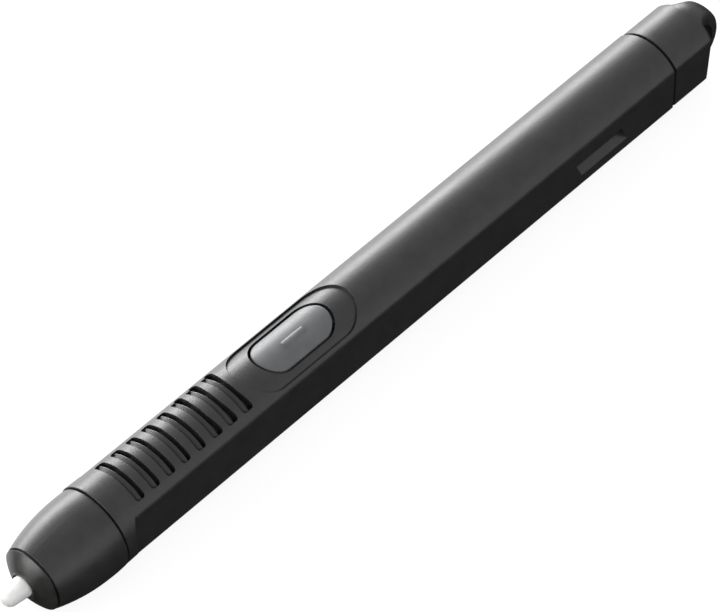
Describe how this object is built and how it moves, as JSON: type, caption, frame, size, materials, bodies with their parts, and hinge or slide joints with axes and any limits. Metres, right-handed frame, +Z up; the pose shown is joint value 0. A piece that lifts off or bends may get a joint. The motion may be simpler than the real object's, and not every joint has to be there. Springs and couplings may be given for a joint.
{
  "type": "digitizer pen",
  "caption": "Round-topped digitizer pen with flat sides, a white nib, grip grooves, a side button in a thumb recess and a tether lug at the rear.",
  "frame": {"origin": "on the flat underside, below the middle of the pen's length and width", "axes": "+X along the pen from the nib to the tether lug, +Z up through the button, +Y across; the side flat with the retention notch faces -Y"},
  "size_m": [0.107, 0.0098, 0.0089],
  "materials": {
    "housing_plastic": "satin, fine moulded grain",
    "collar_plastic": "semi-gloss",
    "nib_plastic": "smooth, slightly translucent",
    "button_plastic": "satin",
    "black_rubber": "matte",
    "grey_foam": "open-cell foam",
    "carrier_plastic": "moulded, matte",
    "board_laminate": "solder mask",
    "chip_resin": "matte resin",
    "switch_cap": "moulded",
    "ceramic": "fired ceramic",
    "trimmer_plastic": "moulded",
    "ferrite": "sintered, matte",
    "copper_wire": "enamelled copper",
    "terminal_brass": "plated sheet",
    "spring_steel": "drawn wire"
  },
  "bodies": {
    "housing": {"barrel": "housing_plastic", "nose_cone": "housing_plastic", "tip_collar": "collar_plastic", "nose_seal": "black_rubber", "rear_cap": "housing_plastic", "rear_seal": "black_rubber", "carrier_cushion": "grey_foam", "board_carrier": "carrier_plastic", "circuit_board": "board_laminate", "control_chip": "chip_resin", "chip_capacitors": "ceramic", "trimmer_capacitor": "trimmer_plastic", "side_switch_body": "chip_resin", "button_gasket": "black_rubber", "ferrite_core": "ferrite", "coil_winding": "copper_wire", "coil_cushion": "black_rubber", "coil_leads": "copper_wire", "sensor_housing": "carrier_plastic", "sensor_disc": "ceramic", "sensor_terminals": "terminal_brass", "nib_return_spring": "spring_steel"},
    "nib_unit": {"nib": "nib_plastic", "nib_holder": "carrier_plastic", "sensor_contact": "black_rubber"},
    "side_button": {"button": "button_plastic"},
    "plunger": {"switch_plunger": "switch_cap"}
  },
  "joints": [
    {"name": "nib_press", "type": "slide", "parent": "housing", "child": "nib_unit", "axis": [1, 0, 0], "range_m": [0, 0.0003], "stiffness_N_per_m": 400, "deforming": ["nib_return_spring"]},
    {"name": "button_press", "type": "slide", "parent": "housing", "child": "side_button", "axis": [0, 0, -1], "range_m": [0, 0.0003], "stiffness_N_per_m": 600},
    {"name": "plunger_press", "type": "slide", "parent": "housing", "child": "plunger", "axis": [0, 0, -1], "range_m": [0, 0.0003]}
  ],
  "couplings": [
    {"joint": "plunger_press", "follows": "button_press", "ratio": 1}
  ]
}
